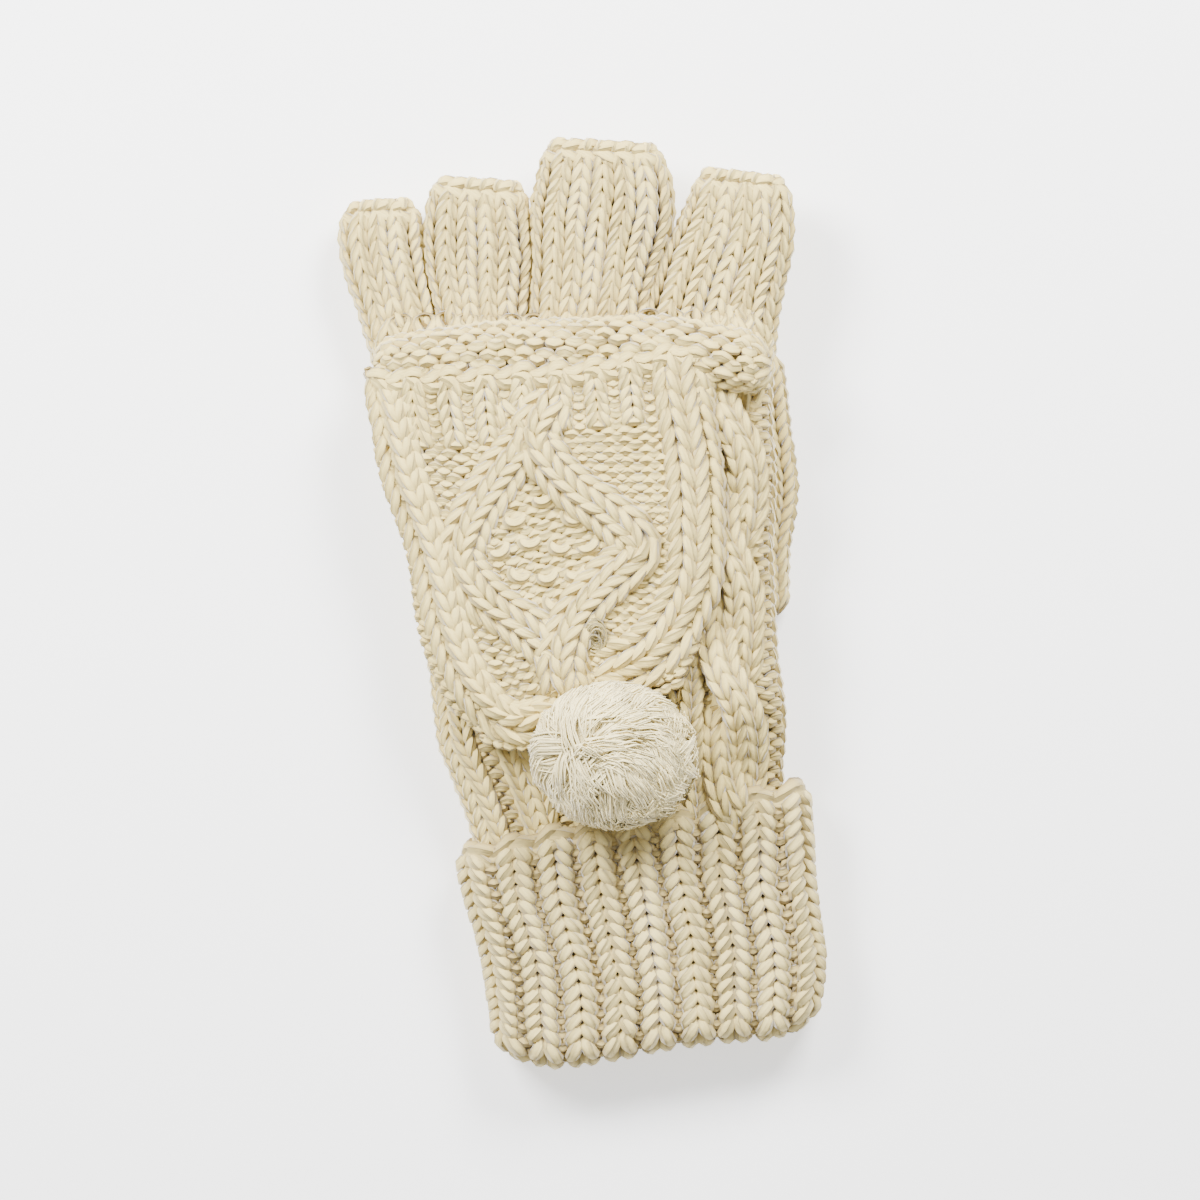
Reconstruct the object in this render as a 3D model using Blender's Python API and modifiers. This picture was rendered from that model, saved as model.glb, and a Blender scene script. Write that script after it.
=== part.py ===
"""Knitted convertible glove for the left hand, lying palm down with its mitten flap folded back.

Frame: metres, +Z up. The origin is on the table, under the centre of the glove's bounding box.
+Y runs up the hand to the fingers and +X points to the thumb side. Dimensions below are measured from
the middle of the cuff's folded lower edge, and the whole glove is then moved onto the origin. The thumb tube lies tucked under
the palm, so the hand part is tilted up on that side. The flap is hinged on its sewn root line across
the knuckles, and its front panel opens away from its back panel at the toe.
"""

import math

import bmesh
import bpy
from mathutils import Matrix, Vector

MM = 0.001

# Driving dimensions, in millimetres
CUFF_LENGTH = 62.0
CUFF_MID_HEIGHT = 11.0
HAND_MID_HEIGHT = 15.7
HAND_TILT = math.radians(5.0)
HAND_START = 56.0
KNUCKLE_Y = 190.0
KNUCKLE_SLOPE = -0.115
WALL = 3.2
CUFF_WALL, CUFF_INNER_WALL = 2.8, 2.0
FINGER_WALL, THUMB_WALL = 2.6, 2.4
GAP = 0.5

# The tilt and the rise over the tucked thumb grow between these two stations
TILT_START, TILT_END = 66.0, 92.0

# Half thickness of the flattened tubes
HAND_HALF, WRIST_HALF = 7.0, 5.9
FINGER_HALF = 6.0
THUMB_HALF = 5.0
TURNBACK_HALF, CUFF_INNER_HALF = 11.0, 6.2

# Ribs round the cuff, one knit and one purl column each
RIBS = 18
RIB_DEPTH = 0.7
POINTS_PER_RIB = 4

# Hand outline: distance up the hand, left edge, right edge
HAND_OUTLINE = (
    (56.0, -42.0, 41.4),
    (66.0, -43.0, 41.6),
    (88.0, -50.0, 43.8),
    (115.0, -50.5, 44.7),
    (140.0, -52.5, 46.8),
    (165.0, -55.0, 49.5),
    (197.0, -56.5, 53.0),
)

# Cuff outline: the folded-back layer, then the layer inside it
TURNBACK_OUTLINE = ((-3.0, -44.0, 44.5), (25.0, -44.8, 47.0), (62.0, -47.3, 48.4))
CUFF_INNER_OUTLINE = ((0.0, -38.3, 39.0), (25.0, -39.2, 41.0), (56.0, -41.2, 42.0))
TURNBACK_TOP_SLOPE = 0.07

# Finger tubes: middle of the root, lean towards the thumb side in degrees, length, half widths
FINGERS = {
    "little_finger_tube": (-50.5, -5.5, 36.5, (8.6, 9.8, 10.3, 9.8)),
    "ring_finger_tube": (-26.9, 1.0, 43.0, (10.2, 12.0, 12.7, 12.0)),
    "middle_finger_tube": (2.3, 11.0, 52.0, (12.6, 15.0, 16.0, 15.2)),
    "index_finger_tube": (35.8, 18.0, 43.5, (14.0, 14.8, 15.4, 13.0)),
}
FINGER_GAP = 0.6
THUMB_PIVOT, THUMB_LEAN, THUMB_LENGTH = (36.0, 128.5), 2.5, 66.0
THUMB_HALF_WIDTHS = (13.6, 15.8, 16.6, 15.6)
THUMB_PIVOT_FROM_ROOT = 13.5
THUMB_OPENING = (9.0, 11.0)

# Mitten flap. Heights are above the hand's mid-surface
FLAP_AXIS_HEIGHT = 12.0
FLAP_AXIS_POINT = (-1.5, 188.7)
FLAP_AXIS_SLOPE = -0.115
FLAP_BACK_TOP = 11.5
FLAP_FRONT_TOP = 16.5
FLAP_PLATE = 4.0
FLAP_EDGE_ROUND = 1.0
FLAP_ROOT_CLEAR = 4.7
FLAP_MOUTH_HINGE_Y = 102.0
FLAP_BAND_Y = 168.0
FLAP_MOUTH_LEFT, FLAP_MOUTH_RIGHT = (-58.0, 186.0), (35.6, 179.2)
ROOT_FOLD_RADIUS = 3.3
ROOT_LEFT, ROOT_RIGHT = -55.5, 50.0

# Edge of the flap, from the left corner of its mouth round the toe to the right corner.
# The scoop at the bottom of the toe makes room for the pompom.
FLAP_EDGE = (
    (-59.0, 192.0),
    (-56.2, 162.5),
    (-51.6, 137.5),
    (-49.0, 113.0),
    (-45.6, 96.0),
    (-39.5, 88.0),
    (-31.0, 84.8),
    (-24.8, 85.2),
    (-22.2, 89.5),
    (-14.0, 97.0),
    (-3.5, 99.2),
    (6.5, 97.2),
    (14.5, 95.8),
    (21.0, 98.4),
    (26.2, 106.0),
    (30.0, 120.0),
    (32.2, 140.0),
    (34.0, 160.0),
    (36.5, 186.0),
)

# Pompom: centre, half sizes, and the point at the toe that its tie swings from
POMPOM_CENTRE = (-3.0, 79.0, 21.8)
POMPOM_HALF = (21.5, 18.8, 15.3)
POMPOM_TIE_POINT = (-3.6, 98.4, 18.0)
TIE_RADIUS, TIE_HOLE_RADIUS, TIE_DEPTH = 0.9, 1.4, 8.0

SEAM_YARN = 0.9
SEAM_STITCH = 8.0
SEAM_WAVE = 1.1
CROTCH_YARN = 0.8

# Centre of the glove's bounding box, from the middle of the cuff's lower edge
BOX_CENTRE = (-1.07, 121.13)


def smooth(share):
    share = min(max(share, 0.0), 1.0)
    return share * share * (3 - 2 * share)


def blend(a, b, share):
    return a + (b - a) * share


def curve_through(points, share):
    """A point on the Catmull-Rom curve through the points, at a share of the way along them."""
    last = len(points) - 1
    place = min(max(share, 0.0), 1.0) * last
    i = min(int(place), last - 1)
    t = place - i
    before, start, end, after = (Vector(points[min(max(k, 0), last)]) for k in (i - 1, i, i + 1, i + 2))
    return 0.5 * (
        2 * start
        + (end - before) * t
        + (2 * before - 5 * start + 4 * end - after) * t**2
        + (3 * start - 3 * end + after - before) * t**3
    )


def edges_at(outline, y):
    """Left and right edge of an outline at a distance up the hand."""
    ys = [row[0] for row in outline]
    i = max(k for k in range(len(ys) - 1) if k == 0 or ys[k] <= y)
    share = (i + (y - ys[i]) / (ys[i + 1] - ys[i])) / (len(ys) - 1)
    _, left, right = curve_through(outline, share)
    return left, right


def lie(x, y, h):
    """World point, in metres, of a place on the glove: h is the height above its mid-surface."""
    share = smooth((y - TILT_START) / (TILT_END - TILT_START))
    tilt = HAND_TILT * share
    rise = blend(CUFF_MID_HEIGHT, HAND_MID_HEIGHT, share)
    across = x * math.cos(tilt) - h * math.sin(tilt)
    up = x * math.sin(tilt) + h * math.cos(tilt) + rise
    return Vector((across, y, up)) * MM


def round_tube(turn, half_width, half_height):
    """Place on the outline of a flattened tube, a share of the way round from its left edge over the top."""
    flat = half_width - half_height
    bend = math.pi * half_height
    s = (turn % 1.0) * (4 * flat + 2 * bend) - bend / 2
    if s < 0:
        angle = (s + bend / 2) / half_height
        return -flat - half_height * math.cos(angle), half_height * math.sin(angle)
    if s < 2 * flat:
        return s - flat, half_height
    s -= 2 * flat
    if s < bend:
        angle = s / half_height
        return flat + half_height * math.sin(angle), half_height * math.cos(angle)
    s -= bend
    if s < 2 * flat:
        return flat - s, -half_height
    angle = (s - 2 * flat) / half_height
    return -flat - half_height * math.sin(angle), -half_height * math.cos(angle)


def yarn_material():
    material = bpy.data.materials.new("cream_yarn")
    material.use_nodes = True
    shader = material.node_tree.nodes["Principled BSDF"]
    shader.inputs["Base Color"].default_value = (0.79, 0.72, 0.56, 1.0)
    shader.inputs["Roughness"].default_value = 0.9
    shader.inputs["Metallic"].default_value = 0.0
    return material


def add_object(name, data, collection, parent=None, location=(0, 0, 0)):
    """Link an object to the collection. The location is in the parent's coordinates, in metres."""
    obj = bpy.data.objects.new(name, data)
    collection.objects.link(obj)
    obj.parent = parent
    obj.location = location
    if data is not None:
        material = bpy.data.materials["cream_yarn"].copy()
        material.name = name + "_yarn"
        data.materials.append(material)
    return obj


def add_pivot(name, collection, parent, location, turn=0.0):
    pivot = add_object(name, None, collection, parent, location)
    pivot.rotation_euler = (0, 0, turn)
    return pivot


def formed_sheet(name, place, across, along, wall, collection, closed=False, parent=None):
    """A wall formed from a grid. place(u, v) gives the outer face's points, and the wall grows inwards."""
    mesh = bpy.data.meshes.new(name)
    bm = bmesh.new()
    bmesh.ops.create_grid(bm, x_segments=across, y_segments=along, size=0.5)
    for vertex in bm.verts:
        vertex.co = place(vertex.co.x + 0.5, vertex.co.y + 0.5)
    if closed:
        bmesh.ops.remove_doubles(bm, verts=bm.verts, dist=0.001 * MM)
    bm.to_mesh(mesh)
    bm.free()
    mesh.shade_smooth()
    obj = add_object(name, mesh, collection, parent)
    solidify = obj.modifiers.new("wall", "SOLIDIFY")
    solidify.thickness = wall * MM
    solidify.offset = -1
    solidify.use_even_offset = True
    return obj


def cut_with(cutter, piece):
    cutter.hide_render = True
    cutter.display_type = "WIRE"
    cut = piece.modifiers.new(cutter.name, "BOOLEAN")
    cut.operation = "DIFFERENCE"
    cut.solver = "EXACT"
    cut.object = cutter


def yarn(name, points, radius, collection, parent=None, sides=0):
    """A yarn with closed ends through points in the parent's coordinates, in metres."""
    curve = bpy.data.curves.new(name, "CURVE")
    curve.dimensions = "3D"
    curve.bevel_depth = radius * MM
    curve.bevel_resolution = sides
    curve.use_fill_caps = True
    spline = curve.splines.new("POLY")
    spline.points.add(len(points) - 1)
    for target, point in zip(spline.points, points):
        target.co = (*point, 1.0)
    return add_object(name, curve, collection, parent)


def plate(name, outline, bottom, collection, parent, pivot):
    """A flat knitted panel with a rounded edge. pivot is the parent's place in the hand plane."""
    curve = bpy.data.curves.new(name, "CURVE")
    curve.dimensions = "2D"
    curve.fill_mode = "BOTH"
    curve.extrude = (FLAP_PLATE / 2 - FLAP_EDGE_ROUND) * MM
    curve.bevel_depth = FLAP_EDGE_ROUND * MM
    curve.bevel_resolution = 0
    spline = curve.splines.new("POLY")
    spline.points.add(len(outline) - 1)
    spline.use_cyclic_u = True
    for target, (x, y) in zip(spline.points, outline):
        target.co = ((x - pivot[0]) * MM, (y - pivot[1]) * MM, 0.0, 1.0)
    height = bottom + FLAP_PLATE / 2 - pivot[2]
    return add_object(name, curve, collection, parent, (0, 0, height * MM))


def make_hand(collection, base):
    """Back and palm panels, each half of one flattened tube, and the two side seams between them."""
    rim_height = 0.45
    side_flat = 0.17

    def panel(side):
        def place(u, v):
            station = blend(HAND_START, KNUCKLE_Y, v)
            left, right = edges_at(HAND_OUTLINE, station)
            half = blend(WRIST_HALF, HAND_HALF, smooth((station - TILT_START) / (TILT_END - TILT_START)))
            half_width = (right - left) / 2 + side_flat * half
            x, h = round_tube(u / 2 if side > 0 else 0.5 + u / 2, half_width, half)
            limit = half_width - side_flat * half
            x = min(max(x, -limit), limit) + (left + right) / 2
            y = blend(HAND_START, KNUCKLE_Y + KNUCKLE_SLOPE * x, v)
            return lie(x, y, side * max(side * h, rim_height))

        return place

    formed_sheet("hand_back_panel", panel(1), 26, 10, WALL, collection, parent=base)
    palm = formed_sheet("hand_palm_panel", panel(-1), 26, 10, WALL, collection, parent=base)

    start, end = TILT_END - 20, KNUCKLE_Y - 8
    for name, side in (("side_seam_little_finger", 0), ("side_seam_thumb", 1)):
        points = []
        steps = round((end - start) / SEAM_STITCH * 4)
        for i in range(steps + 1):
            y = blend(start, end, i / steps)
            outwards = (SEAM_YARN + 0.9) * (1 if side else -1)
            h = SEAM_WAVE * math.sin(math.pi / 2 * i)
            points.append(lie(edges_at(HAND_OUTLINE, y)[side] + outwards, y, h))
        yarn(name, points, SEAM_YARN, collection, base)
    return palm


def make_cuff(collection, base):
    """Two ribbed tubes: the layer joined to the hand, and the layer folded back over it."""

    def tube(outline, half, start, end, top_slope, fold):
        def place(u, v):
            y = blend(start, end, v)
            left, right = edges_at(outline, y)
            crest = math.cos(2 * math.pi * (u * RIBS + 0.5 / POINTS_PER_RIB))
            offset = RIB_DEPTH * min(max(2 * crest, -1.0), 1.0)
            rounding = fold * smooth(1 - (y - start) / 4.0)
            half_width = (right - left) / 2 + offset - rounding
            x, h = round_tube(u, half_width, half + offset - RIB_DEPTH - rounding)
            x += (left + right) / 2
            return lie(x, y + top_slope * x * v, h)

        return place

    around = RIBS * POINTS_PER_RIB
    inner = tube(CUFF_INNER_OUTLINE, CUFF_INNER_HALF, 0.0, HAND_START - GAP, 0.0, 0.0)
    formed_sheet("cuff_inner_rib", inner, around, 2, CUFF_INNER_WALL, collection, closed=True, parent=base)
    outer = tube(TURNBACK_OUTLINE, TURNBACK_HALF, -3.0, CUFF_LENGTH - 1, TURNBACK_TOP_SLOPE, 0.5)
    formed_sheet("cuff_turnback_rib", outer, around, 5, CUFF_WALL, collection, closed=True, parent=base)


def make_tube(name, lean, length, half_widths, half, wall, collection, parent, place_at, before_pivot=0.0):
    """An open flattened tube that grows along its own +Y from a pivot on its palm side."""
    pivot = add_pivot(name + "_pivot", collection, parent, Vector(place_at) * MM, -math.radians(lean))
    widths = [(width, 0.0) for width in half_widths]

    def place(u, v):
        x, h = round_tube(u, curve_through(widths, v)[0], half)
        return Vector((x, v * length - before_pivot, h + half)) * MM

    return formed_sheet(name, place, 28, 6, wall, collection, closed=True, parent=pivot)


def finger_root(name):
    """Middle of a finger tube's root: the nearest place to the hand that leaves a gap at both corners."""
    x, lean, _, half_widths = FINGERS[name]
    across = Vector((math.cos(math.radians(lean)), -math.sin(math.radians(lean)))) * half_widths[0]
    needed = [KNUCKLE_Y + KNUCKLE_SLOPE * (x + s * across.x) - s * across.y for s in (-1, 1)]
    return x, max(needed) + FINGER_GAP


def make_fingers(collection, hand_plane):
    """Four open finger tubes, and the stitches that close the gaps between their roots."""
    for name, (_, lean, length, half_widths) in FINGERS.items():
        root = (*finger_root(name), -FINGER_HALF)
        make_tube(name, lean, length, half_widths, FINGER_HALF, FINGER_WALL, collection, hand_plane, root)

    names = list(FINGERS)
    for i, (left, right) in enumerate(zip(names, names[1:]), 1):
        x = (FINGERS[left][0] + FINGERS[left][3][0] + FINGERS[right][0] - FINGERS[right][3][0]) / 2
        y = KNUCKLE_Y + KNUCKLE_SLOPE * x + CROTCH_YARN + 0.5
        points = [Vector((x, y, h)) * MM for h in (-3.6, -1.2, 1.2, 3.6)]
        yarn(f"crotch_stitch_{i}", points, CROTCH_YARN, collection, hand_plane)


def make_thumb(collection, base, palm, cutters):
    """The thumb tube lies flat on the table, under the palm, and meets the hand at an oval opening."""
    thumb = make_tube(
        "thumb_tube",
        THUMB_LEAN,
        THUMB_LENGTH,
        THUMB_HALF_WIDTHS,
        THUMB_HALF,
        THUMB_WALL,
        collection,
        base,
        (*THUMB_PIVOT, 0.0),
        THUMB_PIVOT_FROM_ROOT,
    )
    mesh = bpy.data.meshes.new("thumb_opening")
    bm = bmesh.new()
    bmesh.ops.create_cone(bm, cap_ends=True, segments=20, radius1=1.0, radius2=1.0, depth=1.0)
    for vertex in bm.verts:
        x, y, z = vertex.co
        height = blend(THUMB_HALF, HAND_MID_HEIGHT + 1.5, z + 0.5)
        vertex.co = Vector((x * THUMB_OPENING[0], y * THUMB_OPENING[1], height)) * MM
    bm.to_mesh(mesh)
    bm.free()
    cutter = add_object("thumb_opening", mesh, cutters, base, Vector((*THUMB_PIVOT, 0.0)) * MM)
    for piece in (palm, thumb):
        cut_with(cutter, piece)


def flap_axis_y(x):
    return FLAP_AXIS_POINT[1] + FLAP_AXIS_SLOPE * (x - FLAP_AXIS_POINT[0])


def flap_edge_between(low, high, steps=3):
    """The flap edge's points between two distances up the hand, and its crossings of them, in order."""
    count = (len(FLAP_EDGE) - 1) * steps
    path = [curve_through(FLAP_EDGE, i / count) for i in range(count + 1)]
    kept = []
    for i, point in enumerate(path):
        if i:
            before = path[i - 1]
            for limit in sorted((low, high), reverse=point.y < before.y):
                if (before.y - limit) * (point.y - limit) < 0:
                    kept.append(before.lerp(point, (limit - before.y) / (point.y - before.y)))
        if low <= point.y <= high:
            kept.append(point)
    return [(p.x, p.y) for p in kept]


def make_flap(collection, hand_plane):
    """The mitten flap: back panel and toe, a front panel that opens at the toe, and the sewn root."""
    axis = (*FLAP_AXIS_POINT, FLAP_AXIS_HEIGHT)
    flap_pivot = add_pivot("flap_fold_pivot", collection, hand_plane, Vector(axis) * MM)
    mouth = (FLAP_AXIS_POINT[0], FLAP_MOUTH_HINGE_Y, FLAP_FRONT_TOP)
    mouth_pivot = add_pivot("flap_mouth_pivot", collection, flap_pivot, (Vector(mouth) - Vector(axis)) * MM)

    lowest = min(y for _, y in FLAP_EDGE) - 5
    clear = FLAP_ROOT_CLEAR + FLAP_EDGE_ROUND
    back = [(x, flap_axis_y(x) - clear) for x in (46.0, -54.0)] + flap_edge_between(lowest, 172.0)
    plate("flap_back_panel", back, FLAP_BACK_TOP - FLAP_PLATE, collection, flap_pivot, axis)

    margin = GAP / 2 + FLAP_EDGE_ROUND
    front_bottom = FLAP_FRONT_TOP - FLAP_PLATE
    toe = flap_edge_between(lowest, FLAP_MOUTH_HINGE_Y - margin)
    plate("flap_toe", toe, front_bottom, collection, flap_pivot, axis)
    front = flap_edge_between(FLAP_MOUTH_HINGE_Y + margin, FLAP_BAND_Y - margin)
    plate("flap_front_panel", front, front_bottom, collection, mouth_pivot, mouth)
    band_low = flap_edge_between(FLAP_BAND_Y + margin, FLAP_BAND_Y + margin + 0.5)
    band = [FLAP_MOUTH_LEFT, band_low[1], band_low[-2], FLAP_MOUTH_RIGHT]
    plate("flap_mouth_band", band, front_bottom, collection, mouth_pivot, mouth)

    # Overcast seam round the toe, outside both layers' edges
    first, last = 4.1, 12.6
    steps = 34
    points = []
    for i in range(steps + 1):
        share = blend(first, last, i / steps) / (len(FLAP_EDGE) - 1)
        here = curve_through(FLAP_EDGE, share)
        along = (curve_through(FLAP_EDGE, share + 0.001) - here).normalized()
        out = here + Vector((along.y, -along.x)) * (FLAP_EDGE_ROUND + SEAM_YARN + 0.6)
        h = 12.0 + 1.8 * math.sin(math.pi / 2 * i)
        points.append((Vector((out.x, out.y, h)) - Vector(axis)) * MM)
    yarn("flap_toe_seam", points, SEAM_YARN, collection, flap_pivot)

    root = [Vector((x, flap_axis_y(x), FLAP_AXIS_HEIGHT)) * MM for x in (ROOT_LEFT, ROOT_RIGHT)]
    yarn("flap_root_fold", root, ROOT_FOLD_RADIUS, collection, hand_plane, sides=3)
    steps = 26
    stitches = []
    for i in range(steps + 1):
        x = blend(ROOT_LEFT + 6, ROOT_RIGHT - 4, i / steps)
        y = flap_axis_y(x) - 1.2 + 1.5 * (-1) ** i
        stitches.append(Vector((x, y, HAND_HALF + 0.85)) * MM)
    yarn("flap_root_seam", stitches, 0.55, collection, hand_plane)
    return flap_pivot, axis


def make_pompom(collection, flap_pivot, axis, cutters):
    """A pompom of cut yarn, and the tie that it hangs from at the toe, in a blind hole in the pompom."""
    swing = Vector(POMPOM_TIE_POINT)
    pivot = add_pivot("pompom_pivot", collection, flap_pivot, (swing - Vector(axis)) * MM)
    mesh = bpy.data.meshes.new("pompom")
    bm = bmesh.new()
    bmesh.ops.create_uvsphere(bm, u_segments=24, v_segments=14, radius=1.0)
    for vertex in bm.verts:
        vertex.co = Vector([part * half for part, half in zip(vertex.co, POMPOM_HALF)]) * MM
    bm.to_mesh(mesh)
    bm.free()
    mesh.shade_smooth()
    centre = Vector(POMPOM_CENTRE) - swing
    pompom = add_object("pompom", mesh, collection, pivot, centre * MM)

    inwards = centre.normalized()
    surface = POMPOM_HALF[1]
    reach = centre.length - surface + TIE_DEPTH
    points = [inwards * blend(0.0, reach, i / 3) * MM for i in range(4)]
    yarn("pompom_tie", points, TIE_RADIUS, collection, pivot, sides=1)

    depth = reach + 1.0 + TIE_DEPTH
    hole_mesh = bpy.data.meshes.new("tie_hole")
    bm = bmesh.new()
    radius = TIE_HOLE_RADIUS * MM
    bmesh.ops.create_cone(bm, cap_ends=True, segments=12, radius1=radius, radius2=radius, depth=depth * MM)
    turn = inwards.to_track_quat("Z", "Y").to_matrix().to_4x4()
    middle = Matrix.Translation(inwards * (reach + 1.0 - depth / 2) * MM)
    bmesh.ops.transform(bm, matrix=middle @ turn, verts=bm.verts)
    bm.to_mesh(hole_mesh)
    bm.free()
    hole = add_object("tie_hole", hole_mesh, cutters, pivot)
    cut_with(hole, pompom)


def build():
    for obj in list(bpy.data.objects):
        bpy.data.objects.remove(obj, do_unlink=True)
    glove = bpy.data.collections.new("convertible_glove")
    cutters = bpy.data.collections.new("cutters")
    for collection in (glove, cutters):
        bpy.context.scene.collection.children.link(collection)
    yarn_material()
    base = add_pivot("glove_base", glove, None, Vector((-BOX_CENTRE[0], -BOX_CENTRE[1], 0.0)) * MM)
    hand_plane = add_pivot("hand_plane", glove, base, (0, 0, HAND_MID_HEIGHT * MM))
    hand_plane.rotation_euler = (0, -HAND_TILT, 0)
    palm = make_hand(glove, base)
    make_cuff(glove, base)
    make_fingers(glove, hand_plane)
    make_thumb(glove, base, palm, cutters)
    flap_pivot, axis = make_flap(glove, hand_plane)
    make_pompom(glove, flap_pivot, axis, cutters)


build()
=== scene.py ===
import math

import bpy
import numpy as np
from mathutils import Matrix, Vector


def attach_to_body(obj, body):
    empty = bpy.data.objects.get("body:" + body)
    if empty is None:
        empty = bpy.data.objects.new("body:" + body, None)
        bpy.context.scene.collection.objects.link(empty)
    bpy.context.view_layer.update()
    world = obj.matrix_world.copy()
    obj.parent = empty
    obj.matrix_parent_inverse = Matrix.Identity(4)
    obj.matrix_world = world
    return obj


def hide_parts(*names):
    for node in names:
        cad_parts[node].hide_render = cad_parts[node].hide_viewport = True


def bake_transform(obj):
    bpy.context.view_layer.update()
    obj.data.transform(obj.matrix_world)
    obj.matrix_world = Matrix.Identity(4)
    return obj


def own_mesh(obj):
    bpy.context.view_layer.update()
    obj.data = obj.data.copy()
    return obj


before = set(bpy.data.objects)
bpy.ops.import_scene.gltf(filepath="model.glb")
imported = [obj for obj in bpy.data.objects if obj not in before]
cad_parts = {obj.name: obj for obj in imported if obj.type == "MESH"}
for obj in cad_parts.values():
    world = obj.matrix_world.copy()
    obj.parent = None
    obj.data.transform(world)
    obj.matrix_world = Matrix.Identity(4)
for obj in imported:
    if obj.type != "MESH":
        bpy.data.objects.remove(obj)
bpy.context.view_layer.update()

# The glove is described in millimetres: x across the hand, y up the hand from the middle of the
# cuff's folded edge, h above the hand's mid-surface. lie() turns that into the frame's metres.
MM = 0.001
CENTRE_X, CENTRE_Y = -1.07, 121.13
TILT = math.radians(5.0)
CUFF_RISE, HAND_RISE = 11.0, 15.7
TILT_START, TILT_END = 66.0, 92.0
PI = math.pi
rng = np.random.default_rng(7)


def smooth(s):
    """Eases from 0 at s = 0 to 1 at s = 1."""
    s = np.clip(s, 0.0, 1.0)
    return s * s * (3 - 2 * s)


def lie(x, y, h):
    """Places in the frame. The hand tilts and rises past the cuff, as it lies on the folded thumb."""
    share = smooth((y - TILT_START) / (TILT_END - TILT_START))
    tilt = TILT * share
    rise = CUFF_RISE + (HAND_RISE - CUFF_RISE) * share
    # Loose fabric never lies quite straight
    x = x + 0.45 * np.sin(y / 11 + 0.6) + 0.3 * np.sin(y / 5.3 + x / 9)
    y = y + 0.4 * np.sin(x / 8 + y / 17)
    h = h + 0.3 * np.sin(x / 9 + 2) * np.sin(y / 8)
    across = x * np.cos(tilt) - h * np.sin(tilt)
    up = x * np.sin(tilt) + h * np.cos(tilt) + rise
    return np.stack([across - CENTRE_X, y - CENTRE_Y, up], axis=-1) * MM


def point(x, y, h):
    return Vector(lie(np.float64(x), np.float64(y), np.float64(h)))


def through(points, share):
    """Catmull-Rom curve through the points, at shares 0 to 1 of the way along them."""
    p = np.asarray(points, float)
    if p.ndim == 1:
        p = p[:, None]
    last = len(p) - 1
    place = np.clip(np.asarray(share, float), 0, 1) * last
    i = np.minimum(place.astype(int), last - 1)
    t = (place - i)[..., None]
    a, b, c, d = (p[np.clip(i + k, 0, last)] for k in (-1, 0, 1, 2))
    square = (2 * a - 5 * b + 4 * c - d) * t**2
    cube = (3 * b - 3 * c + d - a) * t**3
    return 0.5 * (2 * b + (c - a) * t + square + cube)


def at(table, x):
    """Smooth look-up of a table of (x, value) rows."""
    table = np.asarray(table, float)
    place = np.interp(x, table[:, 0], np.linspace(0, 1, len(table)))
    return through(table[:, 1], place)[..., 0]


# ---------------------------------------------------------------- meshes

# The v coordinate that marks a backing sheet in the "yarn" map. Such sheets are coloured dark, as painted
# shade between the yarns. Yarns have v from 0 up.
SHADE_SHEET_V = -50.0


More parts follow.
